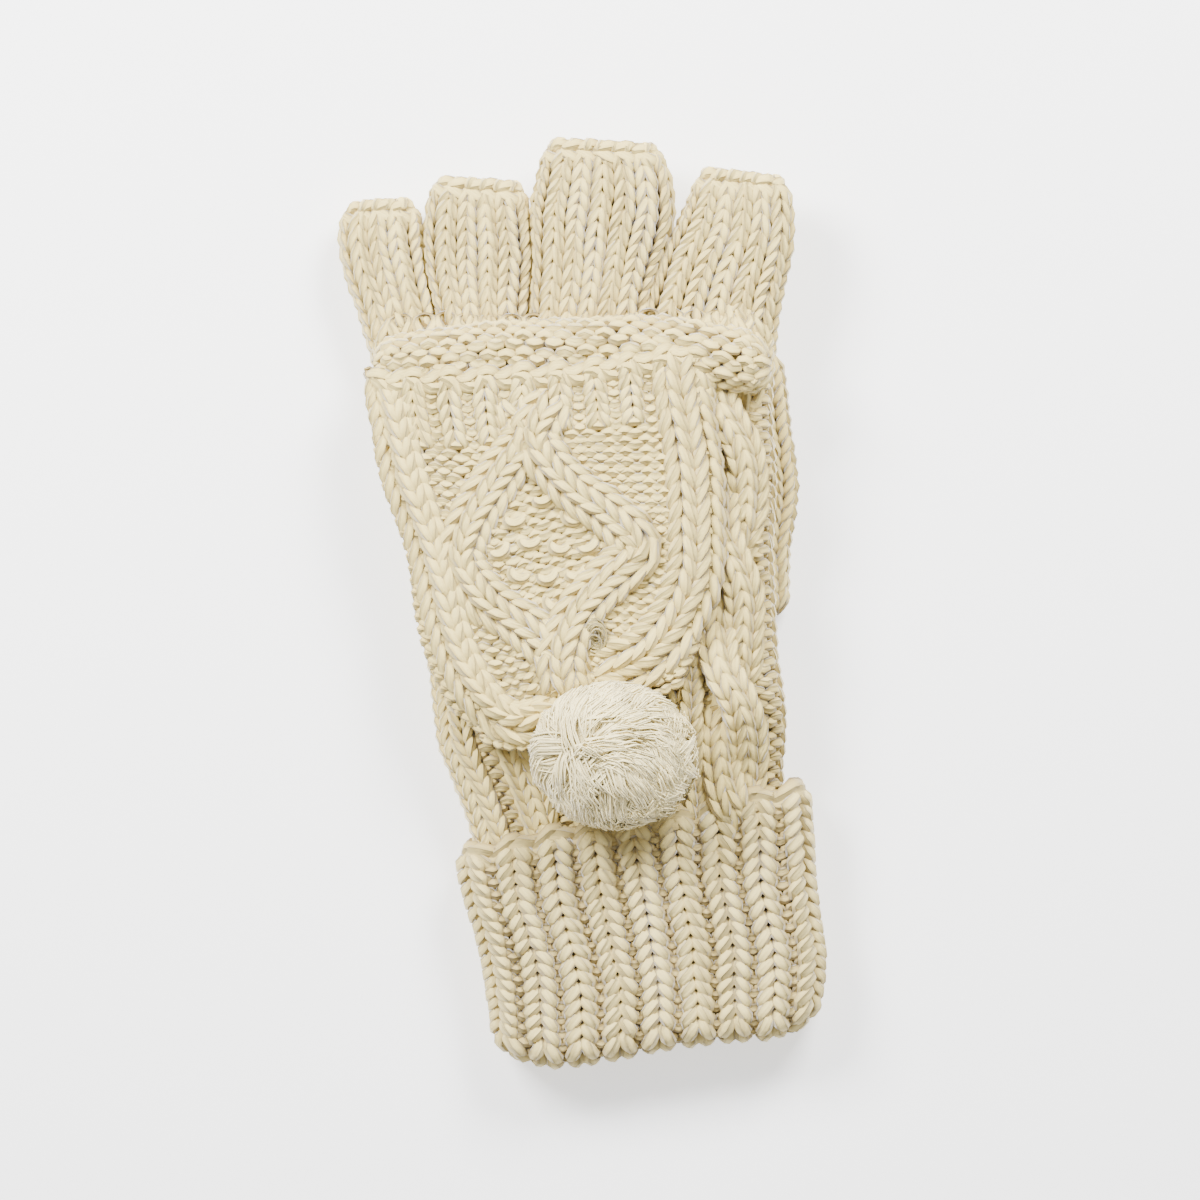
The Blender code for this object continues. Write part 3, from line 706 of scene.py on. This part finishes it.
def make_fingers():
    for name, (centres, halves, height, lift, wales) in FINGERS.items():
        surface, total = finger_surface(centres, halves, height, lift)
        widths = np.full(wales, 1 / wales)
        pile = Pile()
        knit(pile, surface, widths, np.full(wales, K), round(total / FINGER_PITCH), 0, total - 1.0,
             closed=True, start=0.02, radius=1.3, lean=0.25, taper=3.2)
        around = np.linspace(0, 1, 60, endpoint=False)
        pile.sheet(surface, around, np.linspace(0, total, 14), -1.0, closed=True)
        knit(pile, finger_rim(surface, total), [4.4], [K], wales, 0.0, 1.0, start=-3.4, radius=1.7,
             depth=0.7, reach=0.8, thin=0.5, taper=1.6, jitter=1.5)
        overcast(pile, surface, wales + 2, 0.02, 1.02, total + 0.2, 1.9, 1.5)
        # Start and end over the first part of the centre line
        (x0, y0), (x1, y1) = centres[0], centres[1]
        start = point(x0, y0 + 0.5, 0)
        end = point(x0 + (x1 - x0) * 0.6, y0 + (y1 - y0) * 0.6, 0)
        attach_bent(pile, name, ("hand", name), start, end, name + "_tube")


def make_thumb():
    x, y = THUMB_PIVOT
    start = (x - math.sin(THUMB_LEAN) * 13.5, y - math.cos(THUMB_LEAN) * 13.5)
    end = (x + 0.4 + math.sin(THUMB_LEAN) * 52.5, y + math.cos(THUMB_LEAN) * 54.0)
    middle = ((start[0] + end[0]) / 2, (start[1] + end[1]) / 2)
    base, total = finger_surface((start, middle, end), (13.6, 17.4, 16.4), 5.0, 0.0)

    def surface(turn, b, e):
        p = base(turn, b, e)
        # Flat on the table rather than in the tilted plane of the hand
        x, z = p[..., 0], p[..., 2]
        above = z - (HAND_RISE * MM + np.tan(TILT) * (x + CENTRE_X * MM))
        return np.stack([x, p[..., 1], above + THUMB_RISE * MM], axis=-1)

    widths = np.full(THUMB_WALES, 1 / THUMB_WALES)
    pile = Pile()
    knit(pile, surface, widths, np.full(THUMB_WALES, K), round(total / THUMB_PITCH), 0, total - 1,
         closed=True, start=0.02)
    around = np.linspace(0, 1, 60, endpoint=False)
    pile.sheet(surface, around, np.linspace(0, total, 14), -0.9, closed=True)
    knit(pile, finger_rim(surface, total), [3.4], [K], THUMB_WALES, 0.0, 1.0, start=-2.2, radius=1.35,
         depth=0.4, reach=0.9)
    overcast(pile, surface, THUMB_WALES, 0.02, 1.02, total + 0.2, 1.7, 1.4)
    attach(pile, "thumb", "thumb", "thumb_tube")


# ---------------------------------------------------------------- mitten flap

# Edges of the flap: x by the share v from mouth to toe, and y by the share u across
FLAP_LEFT = ((0, -57.4), (0.25, -56.6), (0.5, -52.2), (0.75, -49.6), (0.9, -45.5), (1.0, -38.0))
FLAP_RIGHT = ((0, 37.2), (0.25, 34.5), (0.5, 33.0), (0.75, 28.8), (0.9, 24.0), (1.0, 18.0))
FLAP_TOP = ((0, 187.6), (0.3, 184.2), (0.55, 183.0), (0.8, 183.6), (1.0, 184.0))
FLAP_LOW = ((0, 88.0), (0.12, 85.2), (0.28, 85.0), (0.42, 91.0), (0.58, 97.6), (0.72, 96.0), (0.86, 94.6),
            (1.0, 97.0))
FLAP_ROWS, FLAP_WALES, FLAP_FIRST = 30, 19, 0.012
# The front panel is split here, and the toe below it becomes a piece of its own
TOE_BREAK = 109

# Knit strips on the front: centre line, lift, wale widths, drop at the ends, row height, yarn radius
FLAP_STRIPS = (
    (((-52.0, 185), (-51.6, 172), (-50.4, 160), (-47.6, 147), (-44.2, 129), (-40.8, 110), (-36.0, 97),
      (-28, 90), (-17.0, 91.5)), 1.5, (3.6, 8.2), 0.8, 4.9, 1.62),
    (((28.0, 183), (27.4, 171), (27.4, 157), (26.8, 140), (24.6, 125), (19.0, 113), (10.5, 105.0),
      (1.5, 102.0), (-3.0, 101.0)), 1.8, (7.4, 7.6), 0.8, 4.9, 1.62),
    (((-18.0, 176), (-15.0, 167), (-26, 156), (-34, 145), (-37.2, 135), (-31, 124), (-21, 116),
      (-12.7, 106), (-11.5, 98)), 1.9, (6.3, 6.5), 1.2, 4.6, 1.5),
    (((-8.0, 175), (-13.0, 165), (-6.1, 152), (4.9, 142), (10.6, 133), (1.8, 125.5), (-7.1, 118),
      (-12.4, 108), (-13.0, 98)), 2.9, (6.5, 6.3), 1.2, 4.6, 1.5),
)
BOBBLES = ((-22.0, 145.0), (-14.0, 149.5), (-7.0, 143.5), (-26.5, 137.5), (-18.4, 138.8), (-10.6, 136.2),
           (-2.8, 135.4), (-22.2, 130.6), (-14.2, 129.0), (-6.4, 128.6), (-13.6, 121.6))


def flap_height(x, y):
    """Height of the front panel's middle surface. It rounds down to the back panel at the edges."""
    v = np.clip((185.0 - y) / 95.0, 0, 1)
    left, right = at(FLAP_LEFT, v), at(FLAP_RIGHT, v)
    q = np.abs((x - (left + right) / 2) / ((right - left) / 2))
    toe = smooth((104 - y) / 18)
    return 14.6 - 3.2 * smooth((q - 0.82) / 0.22) - 1.2 * toe + 0.9 * (1 - q**2)


def flap_surface(base):
    def surface(u, v, e):
        left, right = at(FLAP_LEFT, v), at(FLAP_RIGHT, v)
        x = left + (right - left) * u
        y = at(FLAP_TOP, u) * (1 - v) + at(FLAP_LOW, u) * v
        # The mouth's edge is scalloped, with a scallop to each rib
        y = y + 1.0 * np.cos(2 * PI * (u - 0.032) / 0.104) * smooth(1 - v / 0.09)
        return lie(x, y, base(x, y) + e)

    return surface


def first_purls(pile, surface, widths):
    """The purl bump under each rib of the mouth band."""
    s = np.linspace(-1, 1, 7)
    edges = np.concatenate([[0], np.cumsum(widths)])
    for i in range(0, FLAP_WALES, 2):
        u = (edges[i] + edges[i + 1]) / 2 + 0.55 * widths[i] * s
        v = FLAP_FIRST + (5.05 + 0.1 * s**2) * 0.988 / FLAP_ROWS
        e = 1.3 - 1.2 * s**2
        p = surface(u, v, e)
        pile.tube(p, surface(u, v, e + 0.4) - p, (1.5 - 0.8 * s**2) * MM, level=e)


def bobbles(pile):
    """U-shaped bumps inside the diamond."""
    t = np.linspace(-1, 1, 11)
    ups = np.tile([[0, 0, 1.0]], (len(t), 1))
    for i, (cx, cy) in enumerate(BOBBLES):
        turned = 0.5 * math.sin(2.4 * i)
        x0, y0 = 2.5 * np.sin(t * 1.6), 1.0 - 2.1 * np.cos(t * 1.6)
        x = cx + x0 * math.cos(turned) - y0 * math.sin(turned)
        y = cy + x0 * math.sin(turned) + y0 * math.cos(turned)
        e = 0.8 + 1.3 * np.cos(t * 1.5)
        p = lie(x, y, flap_height(x, y) + e)
        pile.tube(p, ups, (1.0 + 0.65 * np.cos(t * 1.4)) * MM, level=e + 0.4)


def loose_knot(pile):
    """A few coils of thin thread at the diamond's foot."""
    t = np.linspace(0, 1, 22)
    ups = np.tile([[0, 0, 1.0]], (len(t), 1))
    for _ in range(14):
        cx, cy = np.array([-3.2, 111.5]) + rng.normal(0, 0.7, 2)
        a0, size = rng.uniform(0, 6.28), rng.uniform(1.4, 3.2)
        x = cx + size * np.cos(a0 + t * 5.2)
        y = cy + size * 1.3 * np.sin(a0 + t * 5.2)
        h = flap_height(x, y) + 3.6 + 1.2 * np.sin(t * 5 + a0)
        pile.tube(lie(x, y, h), ups, np.full(len(t), 0.3 * MM), sides=4, level=2.4)


def make_flap_front():
    front = flap_surface(flap_height)
    wales = np.array([6.4, 4.1] * 9 + [6.4])
    widths = wales / sum(wales.tolist())
    # Ribs at the mouth, purl below them
    kinds = np.full((FLAP_ROWS, FLAP_WALES), P)
    kinds[:5] = [K, P] * 9 + [K]
    kinds[5:7, 9] = K
    pile = Pile()
    knit(pile, front, widths, kinds, FLAP_ROWS, FLAP_FIRST, 1.0, relief=(0.8, 0.0))
    # Two sheets, because the pile is split at the toe
    for v0, v1 in ((0.01, 0.83), (0.83, 0.99)):
        pile.sheet(front, np.linspace(0.01, 0.99, 40), np.linspace(v0, v1, 30), 0.0, level=0.4)

    for path, lift, wide, drop, tall, yarn in FLAP_STRIPS:

        def height(x, y, share, lift=lift):
            return flap_height(x, y) + lift

        half = sum(wide) / 2
        surface, length = strip_surface(path, height, crown=1.4, half_width=half, drop_ends=drop)
        knit(pile, surface, wide, [K, K], round(length / tall), 0, length, start=-half, radius=yarn,
             depth=1.25)
    first_purls(pile, front, widths)
    bobbles(pile)
    loose_knot(pile)

    def rim(a, b, e):
        return front(b, FLAP_FIRST + a / 97.0, e + 0.9)

    knit(pile, rim, [4.6], [K], 19, 0.02, 0.98, start=-2.8, radius=1.75, depth=0.7, reach=0.8, thin=0.5,
         taper=1.6, jitter=1.4)
    overcast(pile, front, 18, 0.02, 0.98, 0.006, -0.022, 1.7)

    panel, toe = pile.split(point(-5, TOE_BREAK, 14).y)
    obj = attach(panel, "flap_front", "flap_front", "flap_front_panel", "flap_mouth_band")
    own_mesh(obj)
    start, end = point(-5, 98, 14), point(-5, 107, 14)
    attach_bent(toe, "flap_toe_bend", ("flap", "flap_front"), start, end, "flap_toe")


def make_flap_sides():
    """The joined side edges, as side walls between the two panels."""
    s = np.linspace(0, 1, 14)
    walls = (("flap_side_little_finger", FLAP_LEFT, 1, 172), ("flap_side_thumb", FLAP_RIGHT, -1, 154))
    for name, table, inward, top in walls:
        pile = Pile(two_faced=True)

        def wall(a, b, e, table=table, inward=inward):
            v = (186.0 - b) / 95.0
            x = at(table, v) + inward * (2.2 + 2.4 * np.sin(a * PI)) - inward * e
            return lie(x, b, 9.6 + 2.6 * a)

        for y in np.arange(top, 104, -2.7):
            b = np.full(len(s), y)
            p = wall(s, b, 0.0)
            pile.tube(p, wall(s, b, 1.0) - p, np.full(len(s), 1.2 * MM), sides=6, level=1.2)
        pile.sheet(wall, s, np.linspace(top, 105, 30), -0.6, level=0.6)
        attach_bent(pile, name, ("flap", "flap_front"), point(0, 140, 9.8), point(0, 140, 12.0))


def make_flap_back():
    low = flap_surface(lambda x, y: 9.4 + 0 * x)

    def back(u, v, e):
        # Its right side faces the hand, and shows when the flap is folded over
        return low(u, v, -e)

    pile = Pile(two_faced=True)
    knit(pile, back, np.full(17, 1 / 17), np.full(17, K), 27, 0.0, 0.985, radius=1.4, depth=0.7)
    pile.sheet(back, np.linspace(0.01, 0.99, 20), np.linspace(0.0, 0.98, 20), 0.0, level=0.6)
    attach(pile, "flap_back", "flap", "flap_back_panel")


def make_root_roll():
    """The roll across the knuckles where the flap is sewn on. It has closed, rounded ends."""
    axis = ((-51.6, 189.4), (-30, 189.2), (-5, 188.6), (22, 185.6), (47.6, 179.6))
    wales, past = 20, 0.03

    def roll(u, v, e):
        c = through(axis, np.clip(u, 0, 1))
        over = (u - np.clip(u, 0, 1)) * 104
        angle = v * 2 * PI
        end = np.sqrt(1 - np.clip((np.abs(u - 0.5) * 2 - 0.9) / 0.16, 0, 1) ** 2)
        r = (5.0 + e) * end
        y = c[..., 1] - np.cos(angle) * r * 1.35 - 0.1 * over
        h = 10.6 + np.sin(angle) * r
        return lie(c[..., 0] + over, y, h)

    pile = Pile()
    knit(pile, roll, np.full(wales, 1.06 / wales), np.full(wales, P), 9, -0.15, 0.7, start=-past,
         radius=1.65, depth=0.9, jitter=1.8)
    pile.sheet(roll, np.linspace(-past, 1 + past, 50), np.linspace(-0.25, 0.8, 22), -0.3, level=0.8)
    attach(pile, "flap_root_roll", "hand", "flap_root_fold")


# ---------------------------------------------------------------- pompom

POMPOM_CENTRE = np.array([-3.0, 79.0, 21.8])
POMPOM_HALF = np.array([22.6, 20.0, 15.6])
TUFTS, STRANDS = 330, 20
GOLDEN_ANGLE = 2.39996
# Share of the radius that the core under the strands takes
CORE = 0.83


def tuft_directions():
    """Where each tuft leaves the middle, and the way its tips are combed: away from a whorl."""
    whorl = np.array([-0.57, 0.27, 0.77])
    whorl /= np.linalg.norm(whorl)
    index = np.arange(TUFTS) + 0.5
    level = 1 - 2 * index / TUFTS
    turn = index * GOLDEN_ANGLE
    out = np.sqrt(1 - level**2)
    d = np.stack([out * np.cos(turn), out * np.sin(turn), level], 1)
    d += rng.normal(0, 0.06, d.shape) + 0.18 * whorl
    d /= np.linalg.norm(d, axis=1)[:, None]
    flow = d - whorl * (d @ whorl)[:, None]
    swirl = 0.15 + 0.4 * np.sin(3.0 * d[:, 0] - 3.6 * d[:, 1] + 1.0)
    flow = flow + swirl[:, None] * np.cross(d, whorl)
    flow -= d * np.sum(flow * d, axis=1)[:, None]
    flow /= np.linalg.norm(flow, axis=1)[:, None] + 1e-6
    flow += rng.normal(0, 0.13, flow.shape)
    return d, flow


def make_pompom():
    directions, flows = tuft_directions()
    pile = Pile()
    t = np.linspace(0, 1, 5)
    rise = t[:, None]
    for d, flow in zip(directions, flows):
        combed = rng.uniform(0.35, 0.8)
        tip = rng.normal(0.985, 0.018)
        curl = rng.normal(0, 0.16, 3)
        for _ in range(STRANDS):
            off = rng.normal(0, 0.09, 3)
            way = d + off * (1 - 0.25 * rise) + flow * (rise**1.5) * combed
            way = way + curl * np.sin(rise * 5.5) * 0.4
            way /= np.linalg.norm(way, axis=1)[:, None]
            reach = tip + rng.normal(0, 0.014)
            r = 0.8 + (reach - 0.8) * np.sin(t * PI / 2)
            p = POMPOM_CENTRE + way * POMPOM_HALF * r[:, None]
            ups = np.tile([[0.1, 0.2, 1.0]], (len(t), 1)) + d * 0.01
            # Painted shade: fibres are darker at the root than at the tip, and strands that stray further
            # from their tuft come out darker too
            pile.tube(lie(*p.T), ups, (0.40 - 0.2 * t) * MM, sides=3,
                      level=1.2 + 1.2 * t - 2.0 * np.linalg.norm(off))

    def ball(a, b, e):
        x = np.cos(a) * np.cos(b) * (CORE * POMPOM_HALF[0] + e)
        y = np.sin(a) * np.cos(b) * (CORE * POMPOM_HALF[1] + e)
        z = np.sin(b) * (CORE * POMPOM_HALF[2] + e)
        return lie(POMPOM_CENTRE[0] + x, POMPOM_CENTRE[1] + y, POMPOM_CENTRE[2] + z)

    around = np.linspace(0, 2 * PI, 40, endpoint=False)
    # The core shows between the strands in the dark tone with painted shade from its level
    pile.sheet(ball, around, np.linspace(-PI / 2 + 0.01, PI / 2 - 0.01, 20), 0.0, closed=True, level=0.9)
    fluff = yarn_material("pompom_yarn", (0.89, 0.785, 0.44), (0.82, 0.69, 0.35), plies=1.0, twist=0.0,
                          bump=0.1, low=-2.0, high=2.2)
    attach(pile, "pompom_fibres", "pompom", "pompom", material=fluff, slot="pompom_yarn")


# ---------------------------------------------------------------- sewing yarns


def sewing(name, points, radius, body, node):
    """One round yarn through points given in x, y and h."""
    pile = Pile()
    p = lie(*np.asarray(points, float).T)
    ups = np.tile([[0.0, 0.05, 1.0]], (len(p), 1))
    pile.tube(p, ups, np.full(len(p), radius * MM), sides=6, level=2.0)
    attach(pile, name, body, node, material=SEAM, slot="seam_yarn")


def make_seams():
    # Side seams of the hand
    for name, table, sign in (("side_seam_little_finger", HAND_LEFT, -1), ("side_seam_thumb", HAND_RIGHT, 1)):
        t = np.linspace(0, 1, 160)
        y = 70 + t * 112
        stitch = t * 112 / 5 * PI
        x = at(table, y) + sign * (-1.9 + 0.6 * np.cos(stitch))
        h = 1.5 * np.sin(stitch)
        sewing(name + "_yarn", np.stack([x, y + hand_slope(y) * x, h], 1), 0.8, "hand", name)

    # Stitches between the fingers' roots
    fingers = list(FINGERS.values())
    for i, (left, right) in enumerate(zip(fingers, fingers[1:]), 1):
        (left_x, left_y), left_half = left[0][0], left[1][0]
        (right_x, right_y), right_half = right[0][0], right[1][0]
        x = (left_x + left_half + right_x - right_half) / 2
        y = (left_y + right_y) / 2 + 3
        t = np.linspace(0, 1, 24)
        wind = t * 6 * PI
        path = np.stack([x + 1.6 * np.sin(wind), y + 0.8 * np.cos(wind), -4.2 + 8.4 * t], 1)
        sewing(f"crotch_yarn_{i}", path, 0.8, "hand", f"crotch_stitch_{i}")

    # Root of the flap
    t = np.linspace(0, 1, 120)
    x = -50 + 96 * t
    stitch = t * 26 * PI
    y = 189.0 - 0.115 * x - 5.2 + 1.0 * np.sin(stitch)
    path = np.stack([x, y, 7.0 + 0.4 * np.cos(stitch)], 1)
    sewing("flap_root_yarn", path, 0.7, "hand", "flap_root_seam")

    # Toe of the flap
    u = np.linspace(0, 1, 160)
    left, right = at(FLAP_LEFT, np.full(len(u), 1.0)), at(FLAP_RIGHT, np.full(len(u), 1.0))
    path = np.stack([left + (right - left) * u, at(FLAP_LOW, u) - 0.3, 11.6 + 1.4 * np.sin(u * 24 * PI)], 1)
    sewing("flap_toe_yarn", path, 0.8, "flap", "flap_toe_seam")

    # Tie from the toe to the pompom
    t = np.linspace(0, 1, 20)[:, None]
    a, b = np.array([-3.6, 99.6, 15.6]), np.array([-3.0, 88.0, 20.5])
    path = a + (b - a) * t + np.array([0, 0, 1.0]) * np.sin(t * PI) * 1.0
    sewing("pompom_cord", path, 1.0, "pompom", "pompom_tie")


make_hand()
make_cuff()
make_fingers()
make_thumb()
make_flap_front()
make_flap_sides()
make_flap_back()
make_root_roll()
make_pompom()
make_seams()


# ---------------------------------------------------------------- stage, light and camera


CAMERA_DISTANCE, VIEW_WIDTH, CAMERA_ROLL = 1.7, 0.324, math.radians(-6.5)


def area(name, place, energy, size):
    """A square lamp that faces the origin."""
    light = bpy.data.lights.new(name, "AREA")
    light.energy = energy
    light.size = size
    obj = bpy.data.objects.new(name, light)
    bpy.context.scene.collection.objects.link(obj)
    obj.location = place
    obj.rotation_euler = (-Vector(place)).to_track_quat("-Z", "Y").to_euler()


def make_stage():
    bpy.ops.mesh.primitive_plane_add(size=4.0, location=(0, 0, -0.0004))
    floor = bpy.context.active_object
    floor.name = "floor"
    mat = bpy.data.materials.new("floor")
    mat.use_nodes = True
    shader = mat.node_tree.nodes["Principled BSDF"]
    shader.inputs["Base Color"].default_value = (0.93, 0.93, 0.93, 1)
    shader.inputs["Roughness"].default_value = 0.9
    shader.inputs["Emission Color"].default_value = (1, 1, 1, 1)
    shader.inputs["Emission Strength"].default_value = 0.9
    floor.data.materials.append(mat)

    world = bpy.data.worlds.new("studio")
    world.use_nodes = True
    background = world.node_tree.nodes["Background"]
    background.inputs["Color"].default_value = (1.0, 1.0, 1.0, 1)
    background.inputs["Strength"].default_value = 0.75
    bpy.context.scene.world = world
    area("key_left", (-0.42, 0.50, 0.62), 22.0, 0.35)
    area("key_right", (0.38, 0.56, 0.62), 20.0, 0.35)

    camera = bpy.data.cameras.new("camera")
    camera.sensor_width = 36.0
    camera.lens = camera.sensor_width * CAMERA_DISTANCE / VIEW_WIDTH
    camera.clip_end = 10.0
    view = bpy.data.objects.new("camera", camera)
    bpy.context.scene.collection.objects.link(view)
    view.location = (-0.0016, -0.0003, CAMERA_DISTANCE + 0.018)
    view.rotation_euler = (0, 0, CAMERA_ROLL)
    bpy.context.scene.camera = view


make_stage()
